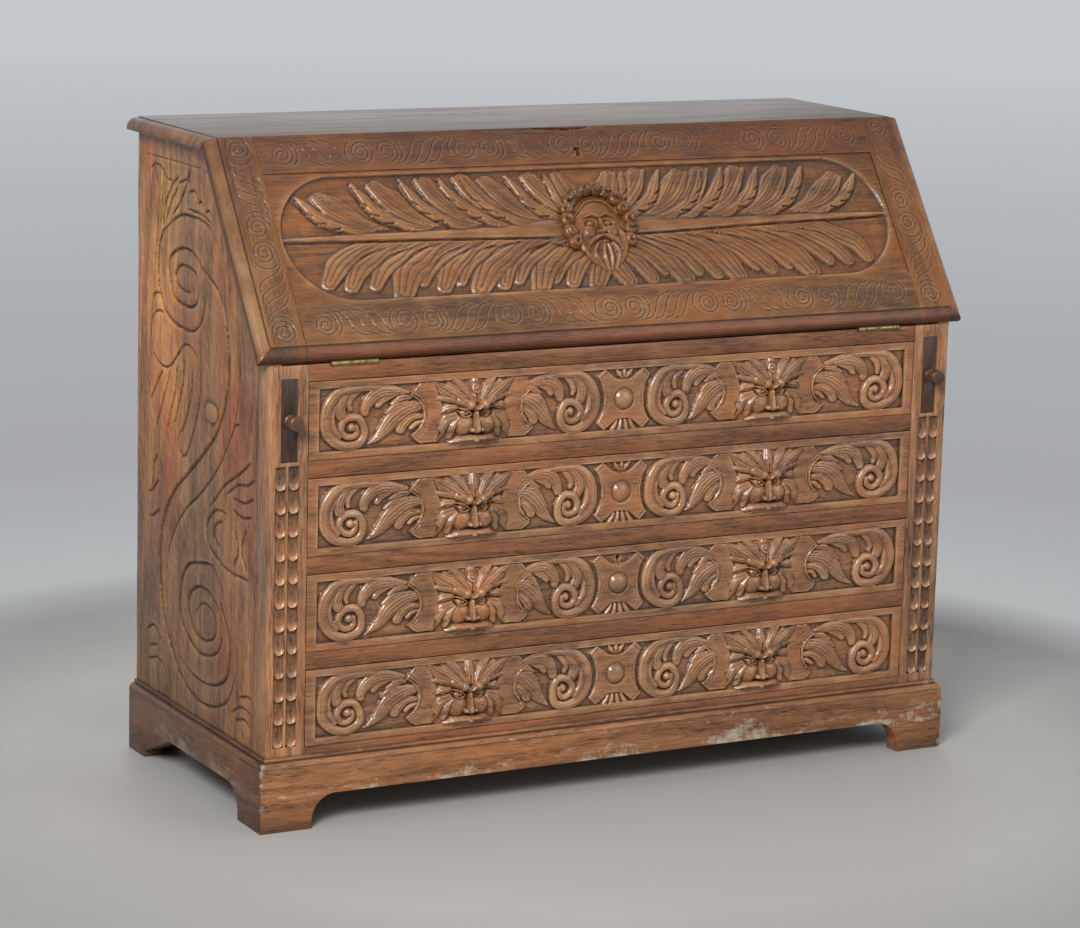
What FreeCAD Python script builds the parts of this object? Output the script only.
import FreeCAD, Part
import math
import os

# A carved oak fall-front bureau: four long drawers below, a sloping fall above that opens
# down to a writing surface, two pull-out lopers that carry it, and a fitted interior.
# X runs along the width, Z is up, and depths are measured back from the case front.

# Carcase
CASE_WIDTH = 1200.0
CASE_DEPTH = 509.0
TOP_HEIGHT = 1022.0
TOP_THICK = 20.0
SIDE_THICK = 20.0
BACK_THICK = 12.0
BACK_BOARD_COUNT = 4
BACK_BOARD_GAP = 0.5
BED_THICK = 19.0
POST_WIDTH = 64.0
POST_DEPTH = 36.0

# Plinth
PLINTH_HEIGHT = 114.0
PLINTH_PROJECTION = 13.0
PLINTH_THICK = 30.0
PLINTH_FACE = 99.0
PLINTH_SEAT = 100.0
PLINTH_FILLET = 4.0
PLINTH_OVOLO = 9.0
FOOT_WIDTH = 85.0
FOOT_GAP = 52.0
FOOT_RADIUS = 40.0
REAR_FOOT_WIDTH = 66.0
REAR_FOOT_RISE = 10.0
REAR_FOOT_RAKE = 100.0
BLOCK_SIZE = 30.0
BLOCK_LIFT = 8.0

# Drawers
DRAWER_COUNT = 4
DRAWER_OPENING = 120.0
DIVIDER_THICK = 26.0
DIVIDER_DEPTH = 70.0
BOTTOM_SHOW = 10.0
BOTTOM_THICK = 20.0
TOP_RAIL_HEIGHT = 25.0
FRONT_THICK = 22.0
FRONT_SETBACK = 0.5
FRONT_GAP = 1.5
FRONT_BORDER_SIDE = 16.0
FRONT_BORDER_EDGE = 11.0
FIELD_DEPTH = 6.0
BOSS_RADIUS = 19.0
BOSS_HEIGHT = 6.0
DRAWER_REAR_GAP = 27.0
DRAWER_SIDE_THICK = 12.0
DRAWER_SIDE_HEIGHT = 104.0
DRAWER_BACK_INSET = 8.0
DRAWER_RUN_GAP = 0.5
DRAWER_BOTTOM_THICK = 8.0
DRAWER_BOTTOM_LIFT = 8.0
DRAWER_GROOVE = 6.0
GROOVE_GAP = 0.2
RUNNER_WIDTH = 60.0
GUIDE_HEIGHT = 20.0

# Carved masks that serve as drawer pulls
MASK_SPACING = 524.0
MASK_HALF_WIDTH = 54.0
MASK_HALF_HEIGHT = 46.0
MASK_LEAF = 10.0
MASK_LOBES = 10
MASK_NOTCH = 10.0
MASK_REACH = 22.0
FALL_MASK_HALF_WIDTH = 66.0
FALL_MASK_HALF_HEIGHT = 72.0
FALL_MASK_RING = 12.0
FALL_MASK_LOBES = 18
FALL_MASK_NOTCH = 5.5
FALL_FACE_HALF_WIDTH = 57.0
FALL_FACE_HALF_HEIGHT = 62.0
FALL_MASK_REACH = 20.0

# Pilaster carved on each front post
PILASTER_INSET = 12.0
PILASTER_WIDTH = 38.0
PILASTER_DEPTH = 6.0
PILASTER_RIB = 4.0
PILASTER_LIP = 1.2
PILASTER_SCALES = 12
PILASTER_TOP_MARGIN = 6.0
PILASTER_FOOT_MARGIN = 13.0

# Lopers
SLOT_WIDTH = 27.0
SLOT_GAP = 0.5
LOPER_REAR_GAP = 76.0
LOPER_SETBACK = 1.0
LOPER_WALL = 15.0
KNOB_RADIUS = 12.0
KNOB_NECK = 7.0
KNOB_REACH = 30.0
KNOB_COLLAR_SHARE = 0.15
KNOB_HEAD_SHARE = 0.45
KNOB_SHOULDER_SHARE = 0.72
KNOB_DOWEL = 5.0
KNOB_DOWEL_LENGTH = 16.0
DOWEL_GAP = 0.05

# Fall
FALL_ANGLE = 54.6
FALL_THICK = 20.0
FALL_GAP = 3.0
FALL_SEAT_GAP = 0.4
MOULD_WIDTH = 20.0
MOULD_SQUARE = 6.0
MOULD_STEP = 2.0
MOULD_FILLET = 1.0
STILE_FACE = 58.0
BOTTOM_RAIL_FACE = 63.0
TOP_RAIL_FACE = 64.0
PANEL_BACK = 3.0
PANEL_FACE = 17.0
PANEL_GAP = 0.3
PANEL_TONGUE_LOW = 6.0
PANEL_TONGUE_HIGH = 12.0
PANEL_TONGUE_LENGTH = 7.0
OVAL_DEPTH = 3.0
OVAL_MARGIN = 6.0
TENON_LENGTH = 36.0
TENON_SHOULDER = 10.0
TENON_GAP = 0.1

# Hinges
AXIS_FORWARD = 0.5
HINGE_INSET = 73.0
HINGE_LENGTH = 77.0
HINGE_LEAF_WIDTH = 26.0
HINGE_LEAF_THICK = 2.0
HINGE_BARREL = 4.0
HINGE_PIN = 1.8
HINGE_PIN_GAP = 0.05
HINGE_KNUCKLES = 5
HINGE_KNUCKLE_GAP = 0.3
HINGE_RECESS_GAP = 0.3
SCREW_COUNT = 3
SCREW_PITCH = 26.0
SCREW_HEAD = 3.4
SCREW_SHANK = 1.8
SCREW_LENGTH = 14.0
SCREW_GAP = 0.05

# Locks, on the fall and on the third drawer down
LOCKED_DRAWER = 2
LOCK_WIDTH = 60.0
LOCK_HEIGHT = 38.0
LOCK_THICK = 11.0
LOCK_GAP = 0.2
LOCK_TOP_MARGIN = 6.0
BOLT_WIDTH = 20.0
BOLT_THICK = 4.0
BOLT_INSET = 2.0
BOLT_LENGTH = 20.0
BOLT_GAP = 0.3
BOLT_THROW = 6.0
KEYHOLE_RADIUS = 3.0
KEYHOLE_SLOT = 2.4
KEYHOLE_DROP = 10.0
KEYHOLE_DEPTH = 4.0

# Fitted interior
INTERIOR_GAP = 41.0
INTERIOR_BOARD = 9.0
PIGEONHOLE_COUNT = 8
SMALL_DRAWER_WIDTH = 280.0
SMALL_DRAWER_HEIGHT = 66.0
SMALL_DRAWER_GAP = 0.8
SMALL_FRONT_THICK = 12.0
SMALL_SIDE_THICK = 7.0
SMALL_BOTTOM_THICK = 5.0
SMALL_DRAWER_REAR_GAP = 11.0
SMALL_KNOB_RADIUS = 8.0
SMALL_KNOB_REACH = 16.0
SMALL_KNOB_NECK = 4.5
SMALL_KNOB_DOWEL = 3.0
SMALL_KNOB_DOWEL_LENGTH = 9.0

# Derived levels
HALF = CASE_WIDTH / 2
INNER = HALF - SIDE_THICK
OPENING_HALF = HALF - POST_WIDTH
BACK_FACE = CASE_DEPTH - BACK_THICK
DRAWER_LENGTH = BACK_FACE - DRAWER_REAR_GAP
HINGE_OFFSET = OPENING_HALF - HINGE_INSET
BOTTOM_TOP = PLINTH_HEIGHT + BOTTOM_SHOW
DRAWER_PITCH = DRAWER_OPENING + DIVIDER_THICK
RAIL_BOTTOM = BOTTOM_TOP + DRAWER_COUNT * DRAWER_PITCH - DIVIDER_THICK
HINGE_HEIGHT = RAIL_BOTTOM + TOP_RAIL_HEIGHT
TOP_UNDER = TOP_HEIGHT - TOP_THICK
SLOT_LEFT = INNER
SLOT_RIGHT = SLOT_LEFT - SLOT_WIDTH
SLOT_BOTTOM = RAIL_BOTTOM - DRAWER_OPENING
LOPER_TOP = HINGE_HEIGHT - FALL_THICK - SLOT_GAP
SLOT_TOP = LOPER_TOP + SLOT_GAP
LOPER_LENGTH = BACK_FACE - LOPER_SETBACK - LOPER_REAR_GAP
SLOPE = math.radians(FALL_ANGLE)
FALL_OUTER = (TOP_HEIGHT - HINGE_HEIGHT - FALL_THICK * math.cos(SLOPE)) / math.sin(SLOPE)
MITRE = math.tan(math.pi / 2 - SLOPE / 2)
FALL_INNER = FALL_OUTER - FALL_THICK / MITRE
FACE_START = FALL_GAP + MOULD_WIDTH
INTERIOR_SETBACK = FALL_INNER * math.cos(SLOPE) - AXIS_FORWARD + INTERIOR_GAP
SMALL_DRAWER_LENGTH = BACK_FACE - INTERIOR_SETBACK - SMALL_DRAWER_REAR_GAP
PANEL_HALF = HALF - STILE_FACE
PANEL_LOW = FACE_START + BOTTOM_RAIL_FACE
PANEL_HIGH = FALL_OUTER - TOP_RAIL_FACE
PANEL_MIDDLE = (PANEL_LOW + PANEL_HIGH) / 2
OVAL_GROUND = PANEL_FACE - OVAL_DEPTH
FRONT_REACH = KNOB_REACH - LOPER_SETBACK
DEPTH_SHIFT = -(CASE_DEPTH - FRONT_REACH) / 2

CUT_MARGIN = 5.0
BIG = 2 * (CASE_WIDTH + TOP_HEIGHT)
SINE_45 = math.sqrt(0.5)
SIDES = (-1, 1)

V = FreeCAD.Vector


def box(x0, x1, d0, d1, z0, z1):
    """A block between two corners."""
    return Part.makeBox(x1 - x0, d1 - d0, z1 - z0, V(x0, d0, z0))


def side_box(side, x0, x1, d0, d1, z0, z1):
    """A block on the left (-1) or right (1), with widths measured out from the middle."""
    low, high = sorted((side * x0, side * x1))
    return box(low, high, d0, d1, z0, z1)


def polygon_face(points):
    return Part.Face(Part.makePolygon(points + points[:1]))


def prism_along_x(points, x0, x1):
    """A straight prism whose section is given as (depth, height) points."""
    return polygon_face([V(x0, d, z) for d, z in points]).extrude(V(x1 - x0, 0, 0))


def prism_along_z(points, z0, z1):
    """A straight prism whose plan is given as (x, depth) points."""
    return polygon_face([V(x, d, z0) for x, d in points]).extrude(V(0, 0, z1 - z0))


def cylinder(radius, length, start, direction):
    return Part.makeCylinder(radius, length, start, direction)


def mirrored(shape):
    return shape.mirror(V(0, 0, 0), V(1, 0, 0))


def ovolo(start, corner, end):
    """A rounded quarter from start to end, bulging towards the outside of the corner."""
    centre = V(start) + V(end) - V(corner)
    middle = centre + (V(corner) - centre) * SINE_45
    return Part.Arc(start, middle, end).toShape()


def line(start, end):
    return Part.makeLine(start, end)


def place_on_fall(shape):
    """Stand a piece of the fall, drawn flat as (x, up the slope, out of the face), at its place."""
    placed = shape.copy()
    placed.rotate(V(0, 0, 0), V(1, 0, 0), FALL_ANGLE)
    placed.translate(V(0, -AXIS_FORWARD, HINGE_HEIGHT))
    return placed


def save(name, solids):
    """Write one sub-part, moved so that the origin is under the middle of the whole object."""
    shape = solids[0] if len(solids) == 1 else Part.makeCompound(solids)
    shape = shape.copy()
    shape.translate(V(0, DEPTH_SHIFT, 0))
    shape.exportStep("parts/" + name + ".step")


def drawer_floor(index):
    """Height of the floor of a long drawer's opening, counted from the top drawer."""
    return RAIL_BOTTOM - DRAWER_OPENING - index * DRAWER_PITCH


# Carcase

def make_side(side):
    """A side board, notched round the post, with its upper edge sloped to carry the fall."""
    edge_top = (TOP_UNDER - HINGE_HEIGHT) / math.tan(SLOPE) - AXIS_FORWARD
    seat = FALL_SEAT_GAP / math.sin(SLOPE)
    outline = [
        (POST_DEPTH, PLINTH_SEAT),
        (CASE_DEPTH, PLINTH_SEAT),
        (CASE_DEPTH, TOP_UNDER),
        (edge_top + seat, TOP_UNDER),
        (seat - AXIS_FORWARD, HINGE_HEIGHT),
        (POST_DEPTH, HINGE_HEIGHT),
    ]
    low, high = sorted((side * INNER, side * HALF))
    return prism_along_x(outline, low, high)


def moulded_section(depth, base, thick):
    """Cross-section of a board with a step and an ovolo worked on its two ends."""
    tip = HALF + MOULD_WIDTH
    shelf = base + thick - MOULD_STEP
    square = base + MOULD_SQUARE
    fillet = HALF + MOULD_FILLET
    edges = [line(V(-tip, depth, base), V(tip, depth, base))]
    for side in SIDES:
        edges.append(line(V(side * tip, depth, base), V(side * tip, depth, square)))
        edges.append(
            ovolo(
                V(side * tip, depth, square),
                V(side * tip, depth, shelf),
                V(side * fillet, depth, shelf),
            )
        )
        edges.append(line(V(side * fillet, depth, shelf), V(side * HALF, depth, shelf)))
        edges.append(line(V(side * HALF, depth, shelf), V(side * HALF, depth, base + thick)))
    edges.append(line(V(-HALF, depth, base + thick), V(HALF, depth, base + thick)))
    return Part.Face(Part.Wire(Part.__sortEdges__(edges)))


def make_top_board():
    """The top, moulded on both ends, mitred at the front to meet the fall."""
    front_top = FALL_OUTER * math.cos(SLOPE) - FALL_THICK * math.sin(SLOPE) - AXIS_FORWARD
    front_under = front_top + TOP_THICK / MITRE
    board = moulded_section(0, TOP_UNDER, TOP_THICK).extrude(V(0, CASE_DEPTH, 0))
    waste = [
        (-CUT_MARGIN, TOP_UNDER - CUT_MARGIN),
        (front_under + CUT_MARGIN / MITRE, TOP_UNDER - CUT_MARGIN),
        (front_top - CUT_MARGIN / MITRE, TOP_HEIGHT + CUT_MARGIN),
        (-CUT_MARGIN, TOP_HEIGHT + CUT_MARGIN),
    ]
    board = board.cut(prism_along_x(waste, -BIG, BIG))
    return board.cut(place_on_fall(fall_bolt_block(BOLT_THROW + BOLT_GAP, BOLT_GAP)))


def make_back_boards():
    pitch = (2 * INNER + BACK_BOARD_GAP) / BACK_BOARD_COUNT
    boards = []
    for index in range(BACK_BOARD_COUNT):
        left = -INNER + index * pitch
        right = left + pitch - BACK_BOARD_GAP
        boards.append(box(left, right, BACK_FACE, CASE_DEPTH, PLINTH_SEAT, TOP_UNDER))
    return boards


def make_bottom_board():
    low = BOTTOM_TOP - BOTTOM_THICK
    rear = box(-INNER, INNER, POST_DEPTH, BACK_FACE, low, BOTTOM_TOP)
    front = box(-OPENING_HALF, OPENING_HALF, 0, POST_DEPTH, low, BOTTOM_TOP)
    return rear.fuse(front).removeSplitter()


def pilaster_column(x0, x1, top, foot):
    """A column of overlapping scales, each one sloping out to the lip at its foot."""
    pitch = (top - foot) / PILASTER_SCALES
    outline = [(PILASTER_DEPTH + CUT_MARGIN, top), (PILASTER_DEPTH, top)]
    for index in range(PILASTER_SCALES):
        lip = top - (index + 1) * pitch
        outline.append((PILASTER_LIP, lip))
        outline.append((PILASTER_DEPTH, lip))
    outline.append((PILASTER_DEPTH + CUT_MARGIN, foot))
    return prism_along_x(outline, x0, x1)


def make_post(side):
    """A front post with the slot for the loper and a sunk pilaster of scales below it."""
    post = box(OPENING_HALF, HALF, 0, POST_DEPTH, PLINTH_SEAT, HINGE_HEIGHT)
    post = post.cut(box(SLOT_RIGHT, SLOT_LEFT, -CUT_MARGIN, BIG, SLOT_BOTTOM, SLOT_TOP))
    outer = HALF - PILASTER_INSET
    inner = outer - PILASTER_WIDTH
    top = SLOT_BOTTOM - PILASTER_TOP_MARGIN
    foot = PLINTH_HEIGHT + PILASTER_FOOT_MARGIN
    column = (PILASTER_WIDTH - PILASTER_RIB) / 2
    post = post.cut(box(inner, outer, -CUT_MARGIN, PILASTER_DEPTH, foot, top))
    for start in (inner, outer - column):
        post = post.fuse(pilaster_column(start, start + column, top, foot))
    rib = box(inner + column, outer - column, PILASTER_LIP, PILASTER_DEPTH + CUT_MARGIN, foot, top)
    post = post.fuse(rib).removeSplitter()
    return post if side > 0 else mirrored(post)


def make_top_rail():
    """The rail under the fall, let in for the hinges."""
    rail = box(-OPENING_HALF, OPENING_HALF, 0, POST_DEPTH, RAIL_BOTTOM, HINGE_HEIGHT)
    for side in SIDES:
        rail = rail.cut(case_leaf_recess(side))
        for x in screw_places(side):
            rail = rail.cut(screw(x, case_screw_depth(), SCREW_GAP))
    return rail


def make_dividers():
    dividers = []
    for index in range(DRAWER_COUNT - 1):
        top = drawer_floor(index)
        divider = box(-OPENING_HALF, OPENING_HALF, 0, DIVIDER_DEPTH, top - DIVIDER_THICK, top)
        if index + 1 == LOCKED_DRAWER:
            divider = divider.cut(drawer_bolt_block(BOLT_THROW + BOLT_GAP, BOLT_GAP))
        dividers.append(divider)
    return dividers


def make_runners():
    """Runners that carry the drawers and lopers, and guides that keep the drawers straight."""
    pieces = []
    for index in range(DRAWER_COUNT):
        floor = drawer_floor(index)
        for side in SIDES:
            if index < DRAWER_COUNT - 1:
                pieces.append(
                    side_box(side, INNER - RUNNER_WIDTH, INNER, DIVIDER_DEPTH, BACK_FACE,
                             floor - DIVIDER_THICK, floor)
                )
            if index > 0:
                pieces.append(
                    side_box(side, OPENING_HALF, INNER, DIVIDER_DEPTH, BACK_FACE,
                             floor, floor + GUIDE_HEIGHT)
                )
    return pieces


def make_loper_walls():
    """Upright walls between the top drawer and the lopers."""
    low = drawer_floor(0)
    high = HINGE_HEIGHT - BED_THICK
    outer = OPENING_HALF + LOPER_WALL
    return [side_box(s, OPENING_HALF, outer, DIVIDER_DEPTH, BACK_FACE, low, high) for s in SIDES]


def make_writing_bed():
    low = HINGE_HEIGHT - BED_THICK
    return box(-INNER, INNER, POST_DEPTH, BACK_FACE, low, HINGE_HEIGHT)


# Plinth

def plinth_section(origin, out, length):
    """A length of plinth: a face, an ovolo and a fillet outside, and a seat for the case inside."""
    up = V(0, 0, 1)

    def at(projection, height):
        return origin + out * projection + up * height

    back = PLINTH_PROJECTION - PLINTH_THICK
    ovolo_top = PLINTH_FACE + PLINTH_OVOLO
    edges = [
        line(at(back, 0), at(PLINTH_PROJECTION, 0)),
        line(at(PLINTH_PROJECTION, 0), at(PLINTH_PROJECTION, PLINTH_FACE)),
        ovolo(
            at(PLINTH_PROJECTION, PLINTH_FACE),
            at(PLINTH_PROJECTION, ovolo_top),
            at(PLINTH_FILLET, ovolo_top),
        ),
        line(at(PLINTH_FILLET, ovolo_top), at(PLINTH_FILLET, PLINTH_HEIGHT)),
        line(at(PLINTH_FILLET, PLINTH_HEIGHT), at(0, PLINTH_HEIGHT)),
        line(at(0, PLINTH_HEIGHT), at(0, PLINTH_SEAT)),
        line(at(0, PLINTH_SEAT), at(back, PLINTH_SEAT)),
        line(at(back, PLINTH_SEAT), at(back, 0)),
    ]
    return Part.Face(Part.Wire(edges)).extrude(length)


def foot_arch(low, high):
    """The opening under a front or back plinth: upright feet with rounded brackets."""
    spring = FOOT_GAP - FOOT_RADIUS
    bend = FOOT_RADIUS * (1 - SINE_45)

    def at(u, v):
        return V(u, 0, v)

    edges = [
        line(at(low, -CUT_MARGIN), at(low, spring)),
        Part.Arc(at(low, spring), at(low + bend, FOOT_GAP - bend),
                 at(low + FOOT_RADIUS, FOOT_GAP)).toShape(),
        line(at(low + FOOT_RADIUS, FOOT_GAP), at(high - FOOT_RADIUS, FOOT_GAP)),
        Part.Arc(at(high - FOOT_RADIUS, FOOT_GAP), at(high - bend, FOOT_GAP - bend),
                 at(high, spring)).toShape(),
        line(at(high, spring), at(high, -CUT_MARGIN)),
        line(at(high, -CUT_MARGIN), at(low, -CUT_MARGIN)),
    ]
    return Part.Face(Part.Wire(edges))


def foot_span():
    return HALF + PLINTH_PROJECTION - FOOT_WIDTH


def mitre_wedge(side):
    """The space beyond the mitre at a front corner of the plinth, seen from the front piece."""
    outer = HALF + PLINTH_PROJECTION + CUT_MARGIN
    front = -PLINTH_PROJECTION - CUT_MARGIN
    run = PLINTH_THICK + 2 * CUT_MARGIN
    plan = [(side * outer, front), (side * (outer - run), front + run), (side * outer, front + run)]
    return prism_along_z(plan, -CUT_MARGIN, PLINTH_HEIGHT + CUT_MARGIN)


def make_plinth_front():
    width = CASE_WIDTH + 2 * PLINTH_PROJECTION
    start = V(-width / 2, 0, 0)
    rail = plinth_section(start, V(0, -1, 0), V(width, 0, 0))
    arch = foot_arch(-foot_span(), foot_span())
    arch.translate(V(0, -PLINTH_PROJECTION - CUT_MARGIN, 0))
    rail = rail.cut(arch.extrude(V(0, PLINTH_THICK + 2 * CUT_MARGIN, 0)))
    for side in SIDES:
        rail = rail.cut(mitre_wedge(side))
    return rail


def make_plinth_side(side):
    """A side plinth: rounded bracket at the front foot, raked bracket at the rear foot."""
    length = CASE_DEPTH + PLINTH_PROJECTION
    rail = plinth_section(V(HALF, -PLINTH_PROJECTION, 0), V(1, 0, 0), V(0, length, 0))
    front = FOOT_WIDTH - PLINTH_PROJECTION
    rear = CASE_DEPTH - REAR_FOOT_WIDTH
    spring = FOOT_GAP - FOOT_RADIUS
    bend = FOOT_RADIUS * (1 - SINE_45)
    x = HALF - PLINTH_THICK

    def at(d, z):
        return V(x, d, z)

    edges = [
        line(at(front, -CUT_MARGIN), at(front, spring)),
        Part.Arc(at(front, spring), at(front + bend, FOOT_GAP - bend),
                 at(front + FOOT_RADIUS, FOOT_GAP)).toShape(),
        line(at(front + FOOT_RADIUS, FOOT_GAP), at(rear - REAR_FOOT_RAKE, FOOT_GAP)),
        line(at(rear - REAR_FOOT_RAKE, FOOT_GAP), at(rear, REAR_FOOT_RISE)),
        line(at(rear, REAR_FOOT_RISE), at(rear, -CUT_MARGIN)),
        line(at(rear, -CUT_MARGIN), at(front, -CUT_MARGIN)),
    ]
    arch = Part.Face(Part.Wire(edges))
    rail = rail.cut(arch.extrude(V(2 * PLINTH_THICK, 0, 0)))
    outer = HALF + PLINTH_PROJECTION
    corner = [(outer, -PLINTH_PROJECTION), (outer - PLINTH_THICK, PLINTH_THICK - PLINTH_PROJECTION),
              (outer - PLINTH_THICK, -PLINTH_PROJECTION)]
    rail = rail.cut(prism_along_z(corner, -CUT_MARGIN, PLINTH_HEIGHT + CUT_MARGIN))
    return rail if side > 0 else mirrored(rail)


def plinth_inner():
    return HALF + PLINTH_PROJECTION - PLINTH_THICK


def make_plinth_back():
    inner = plinth_inner()
    start = CASE_DEPTH - PLINTH_THICK
    board = box(-inner, inner, start, CASE_DEPTH, 0, PLINTH_SEAT)
    arch = foot_arch(-foot_span(), foot_span())
    arch.translate(V(0, start - CUT_MARGIN, 0))
    return board.cut(arch.extrude(V(0, PLINTH_THICK + 2 * CUT_MARGIN, 0)))


def make_plinth_blocks():
    """Glue blocks in the four inner corners of the plinth."""
    inner = plinth_inner()
    front = PLINTH_THICK - PLINTH_PROJECTION
    rear = CASE_DEPTH - PLINTH_THICK
    blocks = []
    for side in SIDES:
        for depth in (front, rear - BLOCK_SIZE):
            blocks.append(
                side_box(side, inner - BLOCK_SIZE, inner, depth, depth + BLOCK_SIZE,
                         BLOCK_LIFT, PLINTH_SEAT)
            )
    return blocks


# Hinges, drawn about the hinge line

def knuckle_spans(case_half):
    """Lengths of the hinge barrel that belong to the case leaf or to the fall leaf."""
    pitch = HINGE_LENGTH / HINGE_KNUCKLES
    spans = []
    for index in range(HINGE_KNUCKLES):
        if (index % 2 == 0) == case_half:
            start = index * pitch - HINGE_LENGTH / 2 + HINGE_KNUCKLE_GAP / 2
            spans.append((start, start + pitch - HINGE_KNUCKLE_GAP))
    return spans


def leaf_screw_reach():
    """Distance of the screws from the hinge line."""
    return (HINGE_BARREL + HINGE_LEAF_WIDTH) / 2


def screw_places(side):
    first = side * HINGE_OFFSET - SCREW_PITCH * (SCREW_COUNT - 1) / 2
    return [first + index * SCREW_PITCH for index in range(SCREW_COUNT)]


def case_screw_depth():
    return leaf_screw_reach() - AXIS_FORWARD


def screw(x, depth, gap):
    """A countersunk screw driven down into the rail, or the hole for it."""
    head = Part.makeCone(SCREW_SHANK + gap, SCREW_HEAD + gap, HINGE_LEAF_THICK,
                         V(x, depth, HINGE_HEIGHT - HINGE_LEAF_THICK), V(0, 0, 1))
    shank = cylinder(SCREW_SHANK + gap, SCREW_LENGTH + gap,
                     V(x, depth, HINGE_HEIGHT - SCREW_LENGTH - gap), V(0, 0, 1))
    return head.fuse(shank).removeSplitter()


def fall_screw(x, gap):
    """A countersunk screw driven into the inner face of the fall, or the hole for it."""
    reach = leaf_screw_reach()
    head = Part.makeCone(SCREW_HEAD + gap, SCREW_SHANK + gap, HINGE_LEAF_THICK,
                         V(x, reach, 0), V(0, 0, 1))
    shank = cylinder(SCREW_SHANK + gap, SCREW_LENGTH + gap, V(x, reach, 0), V(0, 0, 1))
    return head.fuse(shank).removeSplitter()


def case_leaf_recess(side):
    """Housing in the rail for one hinge: a flat bed and a groove for the barrel."""
    half = HINGE_LENGTH / 2 + HINGE_RECESS_GAP
    middle = side * HINGE_OFFSET
    bed = box(middle - half, middle + half, -CUT_MARGIN, HINGE_LEAF_WIDTH + HINGE_RECESS_GAP,
              HINGE_HEIGHT - HINGE_LEAF_THICK, HINGE_HEIGHT + CUT_MARGIN)
    groove = cylinder(HINGE_BARREL + HINGE_RECESS_GAP, 2 * half,
                      V(middle - half, -AXIS_FORWARD, HINGE_HEIGHT), V(1, 0, 0))
    return bed.fuse(groove)


def make_case_leaf(side):
    middle = side * HINGE_OFFSET
    half = HINGE_LENGTH / 2
    clear = HINGE_BARREL + HINGE_RECESS_GAP
    plate = box(middle - half, middle + half, -AXIS_FORWARD, HINGE_LEAF_WIDTH,
                HINGE_HEIGHT - HINGE_LEAF_THICK, HINGE_HEIGHT)
    for start, end in knuckle_spans(False):
        plate = plate.cut(cylinder(clear, end - start + HINGE_KNUCKLE_GAP * 2,
                                   V(middle + start - HINGE_KNUCKLE_GAP, -AXIS_FORWARD, HINGE_HEIGHT),
                                   V(1, 0, 0)))
    for start, end in knuckle_spans(True):
        plate = plate.fuse(cylinder(HINGE_BARREL, end - start,
                                    V(middle + start, -AXIS_FORWARD, HINGE_HEIGHT), V(1, 0, 0)))
    plate = plate.cut(cylinder(HINGE_PIN + HINGE_PIN_GAP, HINGE_LENGTH + 2 * CUT_MARGIN,
                               V(middle - half - CUT_MARGIN, -AXIS_FORWARD, HINGE_HEIGHT), V(1, 0, 0)))
    for x in screw_places(side):
        plate = plate.cut(screw(x, case_screw_depth(), SCREW_GAP))
    return plate.removeSplitter()


def make_fall_leaf(side):
    middle = side * HINGE_OFFSET
    half = HINGE_LENGTH / 2
    clear = HINGE_BARREL + HINGE_RECESS_GAP
    plate = box(middle - half, middle + half, 0, HINGE_LEAF_WIDTH, 0, HINGE_LEAF_THICK)
    for start, end in knuckle_spans(True):
        plate = plate.cut(cylinder(clear, end - start + HINGE_KNUCKLE_GAP * 2,
                                   V(middle + start - HINGE_KNUCKLE_GAP, 0, 0), V(1, 0, 0)))
    for start, end in knuckle_spans(False):
        plate = plate.fuse(cylinder(HINGE_BARREL, end - start, V(middle + start, 0, 0), V(1, 0, 0)))
    plate = plate.cut(cylinder(HINGE_PIN + HINGE_PIN_GAP, HINGE_LENGTH + 2 * CUT_MARGIN,
                               V(middle - half - CUT_MARGIN, 0, 0), V(1, 0, 0)))
    for x in screw_places(side):
        plate = plate.cut(fall_screw(x, SCREW_GAP))
    return place_on_fall(plate.removeSplitter())


def make_hinge_pin(side):
    start = V(side * HINGE_OFFSET - HINGE_LENGTH / 2, -AXIS_FORWARD, HINGE_HEIGHT)
    return cylinder(HINGE_PIN, HINGE_LENGTH, start, V(1, 0, 0))


# Locks


def keyhole_section(x, y):
    """A round hole with a slot below it, as two flat outlines to be pushed through a board."""
    ring = Part.Face(Part.Wire(Part.makeCircle(KEYHOLE_RADIUS, V(x, y, 0), V(0, 0, 1))))
    half = KEYHOLE_SLOT / 2
    slot = polygon_face([V(x - half, y - KEYHOLE_DROP, 0), V(x + half, y - KEYHOLE_DROP, 0),
                         V(x + half, y, 0), V(x - half, y, 0)])
    return ring, slot


def fall_lock_top():
    return FALL_INNER - LOCK_TOP_MARGIN


def keyhole_lift(top):
    return top - LOCK_HEIGHT / 2 + KEYHOLE_DROP / 2


def fall_bolt_block(throw, gap):
    """The bolt of the fall's lock, up the slope, or the space that it needs."""
    half = BOLT_WIDTH / 2 + gap
    top = FALL_INNER + BOLT_INSET / MITRE - BOLT_GAP
    return box(-half, half, top - BOLT_LENGTH - gap, top + throw,
               BOLT_INSET - gap, BOLT_INSET + BOLT_THICK + gap)


def fall_keyhole(low, high):
    solids = [face.extrude(V(0, 0, high - low)) for face in
              keyhole_section(0, keyhole_lift(fall_lock_top()))]
    hole = solids[0].fuse(solids[1])
    hole.translate(V(0, 0, low))
    return hole


def fall_lock_block(gap):
    half = LOCK_WIDTH / 2 + gap
    top = fall_lock_top()
    return box(-half, half, top - LOCK_HEIGHT - gap, top + gap, -gap, LOCK_THICK + gap)


def make_fall_lock():
    lock = fall_lock_block(0).cut(fall_bolt_block(BOLT_THROW + BOLT_GAP, BOLT_GAP))
    return place_on_fall(lock.cut(fall_keyhole(LOCK_THICK - KEYHOLE_DEPTH, LOCK_THICK + CUT_MARGIN)))


def drawer_front_top(index):
    return drawer_floor(index) + DRAWER_OPENING - FRONT_GAP


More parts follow.
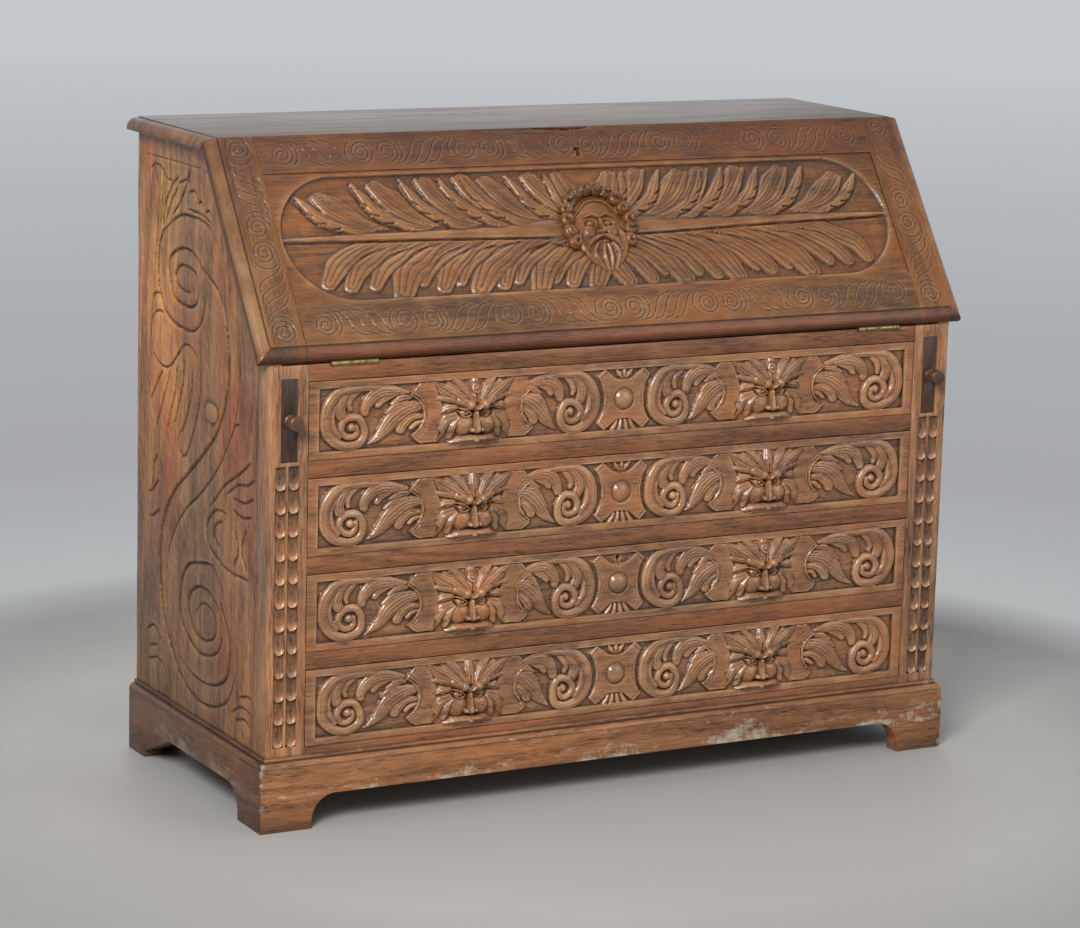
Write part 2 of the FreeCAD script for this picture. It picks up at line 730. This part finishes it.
def drawer_middle(index):
    """Height of the middle of a drawer front."""
    return (drawer_floor(index) + DRAWER_RUN_GAP + drawer_front_top(index)) / 2


def drawer_front_back():
    return FRONT_SETBACK + FRONT_THICK


def drawer_bolt_block(throw, gap):
    """The bolt of the drawer lock, or the space that it needs."""
    half = BOLT_WIDTH / 2 + gap
    top = drawer_front_top(LOCKED_DRAWER) - BOLT_GAP
    rear = drawer_front_back() - BOLT_INSET
    return box(-half, half, rear - BOLT_THICK - gap, rear + gap, top - BOLT_LENGTH - gap, top + throw)


def drawer_keyhole(front, back):
    top = drawer_front_top(LOCKED_DRAWER) - LOCK_TOP_MARGIN
    solids = []
    for face in keyhole_section(0, keyhole_lift(top)):
        solid = face.extrude(V(0, 0, back - front))
        solid.rotate(V(0, 0, 0), V(1, 0, 0), 90)
        solid.translate(V(0, back, 0))
        solids.append(solid)
    return solids[0].fuse(solids[1])


def drawer_lock_block(gap):
    half = LOCK_WIDTH / 2 + gap
    top = drawer_front_top(LOCKED_DRAWER) - LOCK_TOP_MARGIN
    rear = drawer_front_back()
    return box(-half, half, rear - LOCK_THICK - gap, rear + gap, top - LOCK_HEIGHT - gap, top + gap)


def make_drawer_lock():
    lock = drawer_lock_block(0).cut(drawer_bolt_block(BOLT_THROW + BOLT_GAP, BOLT_GAP))
    face = drawer_front_back() - LOCK_THICK
    return lock.cut(drawer_keyhole(face - CUT_MARGIN, face + KEYHOLE_DEPTH))


# Fall

def fall_blank():
    """The whole fall as one board: moulded on both ends and its foot, mitred along its head."""
    across = moulded_section(0, 0, FALL_THICK).extrude(V(0, FALL_OUTER, 0))
    shelf = FALL_THICK - MOULD_STEP
    left = -BIG / 2

    def at(s, n):
        return V(left, s, n)

    edges = [
        line(at(FALL_GAP, 0), at(FALL_INNER - FALL_SEAT_GAP, 0)),
        line(at(FALL_INNER - FALL_SEAT_GAP, 0), at(FALL_OUTER - FALL_SEAT_GAP, FALL_THICK)),
        line(at(FALL_OUTER - FALL_SEAT_GAP, FALL_THICK), at(FACE_START, FALL_THICK)),
        line(at(FACE_START, FALL_THICK), at(FACE_START, shelf)),
        line(at(FACE_START, shelf), at(FACE_START - MOULD_FILLET, shelf)),
        ovolo(at(FACE_START - MOULD_FILLET, shelf), at(FALL_GAP, shelf), at(FALL_GAP, MOULD_SQUARE)),
        line(at(FALL_GAP, MOULD_SQUARE), at(FALL_GAP, 0)),
    ]
    up = Part.Face(Part.Wire(edges)).extrude(V(BIG, 0, 0))
    return across.common(up)


def fall_groove():
    """The groove round the panel opening, as one block to be cut from the frame."""
    reach = PANEL_TONGUE_LENGTH + PANEL_GAP
    return box(-PANEL_HALF - reach, PANEL_HALF + reach, PANEL_LOW - reach, PANEL_HIGH + reach,
               PANEL_TONGUE_LOW - GROOVE_GAP, PANEL_TONGUE_HIGH + GROOVE_GAP)


def tenon(side, low, high, gap):
    start = PANEL_HALF if gap else PANEL_HALF - CUT_MARGIN
    return side_box(side, start, PANEL_HALF + TENON_LENGTH + gap, low + TENON_SHOULDER - gap,
                    high - TENON_SHOULDER + gap, PANEL_TONGUE_LOW - gap, PANEL_TONGUE_HIGH + gap)


def rail_spans():
    return ((FACE_START, PANEL_LOW), (PANEL_HIGH, FALL_INNER))


def make_fall_rail(blank, low, high, span):
    """A rail of the fall's frame, tenoned into both stiles."""
    rail = blank.common(box(-PANEL_HALF, PANEL_HALF, low, high, -CUT_MARGIN, FALL_THICK + CUT_MARGIN))
    rail = rail.cut(fall_groove())
    for side in SIDES:
        rail = rail.fuse(tenon(side, span[0], span[1], 0))
    return rail.removeSplitter()


def make_fall_bottom_rail(blank):
    rail = make_fall_rail(blank, 0, PANEL_LOW, rail_spans()[0])
    for side in SIDES:
        middle = side * HINGE_OFFSET
        half = HINGE_LENGTH / 2 + HINGE_RECESS_GAP
        rail = rail.cut(box(middle - half, middle + half, 0, HINGE_LEAF_WIDTH + HINGE_RECESS_GAP,
                            -CUT_MARGIN, HINGE_LEAF_THICK))
        rail = rail.cut(cylinder(HINGE_BARREL + HINGE_RECESS_GAP, 2 * half,
                                 V(middle - half, 0, 0), V(1, 0, 0)))
        for x in screw_places(side):
            rail = rail.cut(fall_screw(x, SCREW_GAP))
    return place_on_fall(rail)


def make_fall_top_rail(blank):
    rail = make_fall_rail(blank, PANEL_HIGH, FALL_OUTER, rail_spans()[1])
    rail = rail.cut(fall_lock_block(LOCK_GAP))
    rail = rail.cut(fall_bolt_block(BOLT_THROW + CUT_MARGIN, BOLT_GAP))
    return place_on_fall(rail.cut(fall_keyhole(LOCK_THICK, FALL_THICK + CUT_MARGIN)))


def make_fall_stile(blank, side):
    stile = blank.common(side_box(side, PANEL_HALF, BIG, 0, FALL_OUTER, -CUT_MARGIN,
                                  FALL_THICK + CUT_MARGIN))
    stile = stile.cut(fall_groove())
    for low, high in rail_spans():
        stile = stile.cut(tenon(side, low, high, TENON_GAP))
    return place_on_fall(stile)


def make_fall_panel():
    """The panel: a tongue all round, and a long sunk oval that holds the carving."""
    half = PANEL_HALF - PANEL_GAP
    low = PANEL_LOW + PANEL_GAP
    high = PANEL_HIGH - PANEL_GAP
    tongue = PANEL_TONGUE_LENGTH
    panel = box(-half, half, low, high, PANEL_BACK, PANEL_FACE)
    panel = panel.fuse(box(-half - tongue, half + tongue, low - tongue, high + tongue,
                           PANEL_TONGUE_LOW, PANEL_TONGUE_HIGH))
    radius = (high - low) / 2 - OVAL_MARGIN
    straight = half - OVAL_MARGIN - radius
    oval = box(-straight, straight, PANEL_MIDDLE - radius, PANEL_MIDDLE + radius, OVAL_GROUND,
               PANEL_FACE + CUT_MARGIN)
    for side in SIDES:
        end = V(side * straight, PANEL_MIDDLE, OVAL_GROUND)
        oval = oval.fuse(cylinder(radius, OVAL_DEPTH + CUT_MARGIN, end, V(0, 0, 1)))
    return place_on_fall(panel.cut(oval).removeSplitter())


# Masks, drawn face up as (x, up, out of the ground)

def mask_face(half_width, half_height, reach):
    """A face as the common space of a front outline, a side profile and a plan."""
    w, h, r = half_width, half_height, reach
    outline = [(0.28, 0.78), (0.52, 0.45), (0.56, 0.05), (0.46, -0.25), (0.64, -0.65), (0.5, -0.92)]
    points = [V(x * w, y * h, 0) for x, y in outline]
    points += [V(-x * w, y * h, 0) for x, y in reversed(outline)]
    front = polygon_face(points).extrude(V(0, 0, r))
    profile = [(0.8, 0), (0.78, 0.45), (0.45, 0.78), (0.22, 0.72), (0.1, 0.55), (-0.35, 1.0),
               (-0.45, 0.82), (-0.8, 0.92), (-0.95, 0.75), (-0.95, 0)]
    edge = polygon_face([V(-w, y * h, z * r) for y, z in profile]).extrude(V(2 * w, 0, 0))
    plan = [(0.7, 0), (0.66, 0.4), (0.4, 0.78), (0.14, 1.0)]
    points = [V(x * w, -h, z * r) for x, z in plan]
    points += [V(-x * w, -h, z * r) for x, z in reversed(plan)]
    over = polygon_face(points).extrude(V(0, 2 * h, 0))
    return front.common(edge).common(over)


def leaf_ring(half_width, half_height, thick, count, notch):
    """A leafy rim: an oval whose edge runs in and out in pointed lobes."""
    points = []
    for index in range(2 * count):
        angle = math.pi * index / count
        cut = 0 if index % 2 == 0 else notch
        points.append(V((half_width - cut) * math.sin(angle), (half_height - cut) * math.cos(angle), 0))
    return polygon_face(points).extrude(V(0, 0, thick))


def drawer_field_depth():
    return FRONT_SETBACK + FIELD_DEPTH


def make_drawer_masks(index):
    """The two masks of a drawer, fixed to the sunk field of its front."""
    field = drawer_field_depth()
    reach = field + MASK_REACH
    middle = drawer_middle(index)
    masks = []
    for side in SIDES:
        mask = leaf_ring(MASK_HALF_WIDTH, MASK_HALF_HEIGHT, MASK_LEAF, MASK_LOBES, MASK_NOTCH)
        mask = mask.fuse(mask_face(MASK_HALF_WIDTH, MASK_HALF_HEIGHT, reach)).removeSplitter()
        mask.rotate(V(0, 0, 0), V(1, 0, 0), 90)
        mask.translate(V(side * MASK_SPACING / 2, field, middle))
        masks.append(mask)
    return masks


def make_fall_mask():
    """The larger mask at the middle of the fall, inside a ring of curls."""
    reach = FALL_THICK - OVAL_GROUND + FALL_MASK_REACH
    mask = leaf_ring(FALL_MASK_HALF_WIDTH, FALL_MASK_HALF_HEIGHT, FALL_MASK_RING, FALL_MASK_LOBES,
                     FALL_MASK_NOTCH)
    face = mask_face(FALL_FACE_HALF_WIDTH, FALL_FACE_HALF_HEIGHT, reach)
    mask = mask.fuse(face).removeSplitter()
    mask.translate(V(0, PANEL_MIDDLE, OVAL_GROUND))
    return place_on_fall(mask)


# Long drawers

def make_drawer_front(index):
    """A drawer front with a raised border, a sunk field and a round boss at its middle."""
    half = OPENING_HALF - FRONT_GAP
    low = drawer_floor(index) + DRAWER_RUN_GAP
    high = drawer_front_top(index)
    middle = drawer_middle(index)
    field = drawer_field_depth()
    front = box(-half, half, FRONT_SETBACK, drawer_front_back(), low, high)
    front = front.cut(box(-half + FRONT_BORDER_SIDE, half - FRONT_BORDER_SIDE, -CUT_MARGIN, field,
                          low + FRONT_BORDER_EDGE, high - FRONT_BORDER_EDGE))
    sphere = (BOSS_RADIUS ** 2 + BOSS_HEIGHT ** 2) / (2 * BOSS_HEIGHT)
    boss = Part.makeSphere(sphere, V(0, field - BOSS_HEIGHT + sphere, middle))
    boss = boss.common(box(-BOSS_RADIUS, BOSS_RADIUS, -sphere, field + FIELD_DEPTH / 2,
                           middle - BOSS_RADIUS, middle + BOSS_RADIUS))
    front = front.fuse(boss).removeSplitter()
    front = front.cut(drawer_bottom_block(index, GROOVE_GAP))
    if index == LOCKED_DRAWER:
        front = front.cut(drawer_lock_block(LOCK_GAP))
        front = front.cut(drawer_bolt_block(BOLT_THROW + CUT_MARGIN, BOLT_GAP))
        front = front.cut(drawer_keyhole(-CUT_MARGIN, drawer_front_back() - LOCK_THICK))
    return front


def drawer_side_inner():
    return OPENING_HALF - FRONT_GAP - DRAWER_SIDE_THICK


def drawer_bottom_block(index, gap):
    """A drawer's bottom, or the grooves that hold it."""
    low = drawer_floor(index) + DRAWER_RUN_GAP + DRAWER_BOTTOM_LIFT
    half = drawer_side_inner() + DRAWER_GROOVE - GROOVE_GAP + gap
    front = drawer_front_back() - DRAWER_GROOVE + GROOVE_GAP - gap
    return box(-half, half, front, DRAWER_LENGTH + gap, low - gap, low + DRAWER_BOTTOM_THICK + gap)


def make_drawer_box(index):
    """The two sides and the back of a drawer; the bottom slides in under the back."""
    low = drawer_floor(index) + DRAWER_RUN_GAP
    inner = drawer_side_inner()
    high = low + DRAWER_SIDE_HEIGHT
    bottom = drawer_bottom_block(index, GROOVE_GAP)
    pieces = []
    for side in SIDES:
        board = side_box(side, inner, inner + DRAWER_SIDE_THICK, drawer_front_back(), DRAWER_LENGTH,
                         low, high)
        pieces.append(board.cut(bottom))
    rear = DRAWER_LENGTH - DRAWER_BACK_INSET
    seat = low + DRAWER_BOTTOM_LIFT + DRAWER_BOTTOM_THICK + GROOVE_GAP
    pieces.append(box(-inner, inner, rear - DRAWER_SIDE_THICK, rear, seat, high))
    return pieces


# Lopers

def turned_knob(radius, neck, reach, dowel, dowel_length):
    """A turned knob on a dowel, drawn along +Z with its seat at zero."""
    rim = radius / 4
    collar = reach * KNOB_COLLAR_SHARE
    head = reach * KNOB_HEAD_SHARE
    points = [
        V(0, 0, -dowel_length),
        V(dowel, 0, -dowel_length),
        V(dowel, 0, 0),
        V(neck + rim, 0, 0),
        V(neck + rim, 0, collar),
        V(neck, 0, collar + rim / 2),
        V(neck, 0, head),
    ]
    edges = [line(a, b) for a, b in zip(points, points[1:])]
    shoulder = V(radius, 0, reach * KNOB_SHOULDER_SHARE)
    edges.append(ovolo(shoulder, V(radius, 0, head), points[-1]))
    edges.append(line(shoulder, V(radius, 0, reach - rim)))
    edges.append(ovolo(V(radius, 0, reach - rim), V(radius, 0, reach), V(radius - rim, 0, reach)))
    edges.append(line(V(radius - rim, 0, reach), V(0, 0, reach)))
    edges.append(line(V(0, 0, reach), points[0]))
    section = Part.Face(Part.Wire(Part.__sortEdges__(edges)))
    return section.revolve(V(0, 0, 0), V(0, 0, 1), 360)


def knob_at(knob, x, depth, z):
    """Turn a knob to point out of the front and set it at its seat."""
    placed = knob.copy()
    placed.rotate(V(0, 0, 0), V(1, 0, 0), 90)
    placed.translate(V(x, depth, z))
    return placed


def loper_middle():
    return (SLOT_LEFT + SLOT_RIGHT) / 2


def loper_knob_height():
    return (SLOT_BOTTOM + SLOT_GAP + LOPER_TOP) / 2


def make_loper(side):
    bar = side_box(side, SLOT_RIGHT + SLOT_GAP, SLOT_LEFT - SLOT_GAP, LOPER_SETBACK,
                   LOPER_SETBACK + LOPER_LENGTH, SLOT_BOTTOM + SLOT_GAP, LOPER_TOP)
    hole = cylinder(KNOB_DOWEL + DOWEL_GAP, KNOB_DOWEL_LENGTH + DOWEL_GAP,
                    V(side * loper_middle(), LOPER_SETBACK, loper_knob_height()), V(0, 1, 0))
    return bar.cut(hole)


def make_loper_knob(side):
    knob = turned_knob(KNOB_RADIUS, KNOB_NECK, KNOB_REACH, KNOB_DOWEL, KNOB_DOWEL_LENGTH)
    return knob_at(knob, side * loper_middle(), LOPER_SETBACK, loper_knob_height())


# Fitted interior

def small_drawer_top():
    return HINGE_HEIGHT + SMALL_DRAWER_HEIGHT


def make_interior_shelf():
    low = small_drawer_top()
    return box(-INNER, INNER, INTERIOR_SETBACK, BACK_FACE, low, low + INTERIOR_BOARD)


def make_interior_partitions():
    """Uprights beside the small drawers, and the partitions of the pigeonholes above."""
    pieces = []
    inner = INNER - SMALL_DRAWER_WIDTH
    for side in SIDES:
        pieces.append(side_box(side, inner - INTERIOR_BOARD, inner, INTERIOR_SETBACK, BACK_FACE,
                               HINGE_HEIGHT, small_drawer_top()))
    pitch = (2 * INNER + INTERIOR_BOARD) / PIGEONHOLE_COUNT
    for index in range(1, PIGEONHOLE_COUNT):
        left = index * pitch - INNER - INTERIOR_BOARD
        pieces.append(box(left, left + INTERIOR_BOARD, INTERIOR_SETBACK, BACK_FACE,
                          small_drawer_top() + INTERIOR_BOARD, TOP_UNDER))
    return pieces


def small_drawer_span():
    """Inner and outer limits of a small drawer, from the middle of the bureau."""
    return INNER - SMALL_DRAWER_WIDTH + SMALL_DRAWER_GAP, INNER - SMALL_DRAWER_GAP


def make_small_front(side):
    inner, outer = small_drawer_span()
    low = HINGE_HEIGHT + SMALL_DRAWER_GAP
    high = small_drawer_top() - SMALL_DRAWER_GAP
    front = side_box(side, inner, outer, INTERIOR_SETBACK, INTERIOR_SETBACK + SMALL_FRONT_THICK, low, high)
    hole = cylinder(SMALL_KNOB_DOWEL + DOWEL_GAP, SMALL_KNOB_DOWEL_LENGTH + DOWEL_GAP,
                    V(side * (inner + outer) / 2, INTERIOR_SETBACK, (low + high) / 2), V(0, 1, 0))
    return front.cut(hole)


def make_small_box(side):
    """Sides, back and bottom of a small drawer."""
    inner, outer = small_drawer_span()
    low = HINGE_HEIGHT + SMALL_DRAWER_GAP
    seat = low + SMALL_BOTTOM_THICK
    high = small_drawer_top() - 2 * SMALL_DRAWER_GAP
    start = INTERIOR_SETBACK + SMALL_FRONT_THICK
    end = INTERIOR_SETBACK + SMALL_DRAWER_LENGTH
    wall = SMALL_SIDE_THICK
    return [
        side_box(side, inner, inner + wall, start, end, seat, high),
        side_box(side, outer - wall, outer, start, end, seat, high),
        side_box(side, inner + wall, outer - wall, end - wall, end, seat, high),
        side_box(side, inner, outer, start, end, low, seat),
    ]


def make_small_knob(side):
    inner, outer = small_drawer_span()
    knob = turned_knob(SMALL_KNOB_RADIUS, SMALL_KNOB_NECK, SMALL_KNOB_REACH, SMALL_KNOB_DOWEL,
                       SMALL_KNOB_DOWEL_LENGTH)
    height = HINGE_HEIGHT + SMALL_DRAWER_HEIGHT / 2
    return knob_at(knob, side * (inner + outer) / 2, INTERIOR_SETBACK, height)


def make_all():
    """Every sub-part, by name, as a list of solids."""
    blank = fall_blank()
    parts = {
        "top_board": [make_top_board()],
        "back_boards": make_back_boards(),
        "bottom_board": [make_bottom_board()],
        "top_rail": [make_top_rail()],
        "drawer_dividers": make_dividers(),
        "drawer_runners": make_runners(),
        "loper_walls": make_loper_walls(),
        "writing_bed": [make_writing_bed()],
        "plinth_front": [make_plinth_front()],
        "plinth_back": [make_plinth_back()],
        "plinth_blocks": make_plinth_blocks(),
        "hinge_case_leaves": [make_case_leaf(side) for side in SIDES],
        "hinge_pins": [make_hinge_pin(side) for side in SIDES],
        "hinge_case_screws": [
            screw(x, case_screw_depth(), 0) for side in SIDES for x in screw_places(side)
        ],
        "hinge_fall_leaves": [make_fall_leaf(side) for side in SIDES],
        "hinge_fall_screws": [
            place_on_fall(fall_screw(x, 0)) for side in SIDES for x in screw_places(side)
        ],
        "fall_top_rail": [make_fall_top_rail(blank)],
        "fall_bottom_rail": [make_fall_bottom_rail(blank)],
        "fall_panel": [make_fall_panel()],
        "fall_mask": [make_fall_mask()],
        "fall_lock": [make_fall_lock()],
        "fall_lock_bolt": [place_on_fall(fall_bolt_block(0, 0))],
        "drawer_3_lock": [make_drawer_lock()],
        "drawer_3_lock_bolt": [drawer_bolt_block(0, 0)],
        "interior_shelf": [make_interior_shelf()],
        "interior_partitions": make_interior_partitions(),
    }
    for side, name in zip(SIDES, ("left", "right")):
        parts["side_" + name] = [make_side(side)]
        parts["front_post_" + name] = [make_post(side)]
        parts["plinth_" + name] = [make_plinth_side(side)]
        parts["fall_stile_" + name] = [make_fall_stile(blank, side)]
        parts["loper_" + name] = [make_loper(side)]
        parts["loper_knob_" + name] = [make_loper_knob(side)]
        parts["small_drawer_" + name + "_front"] = [make_small_front(side)]
        parts["small_drawer_" + name + "_box"] = make_small_box(side)
        parts["small_drawer_" + name + "_knob"] = [make_small_knob(side)]
    for index in range(DRAWER_COUNT):
        name = "drawer_" + str(index + 1)
        parts[name + "_front"] = [make_drawer_front(index)]
        parts[name + "_box"] = make_drawer_box(index)
        parts[name + "_bottom"] = [drawer_bottom_block(index, 0)]
        parts[name + "_masks"] = make_drawer_masks(index)
    return parts


os.makedirs("parts", exist_ok=True)
for part_name, part_solids in make_all().items():
    save(part_name, part_solids)
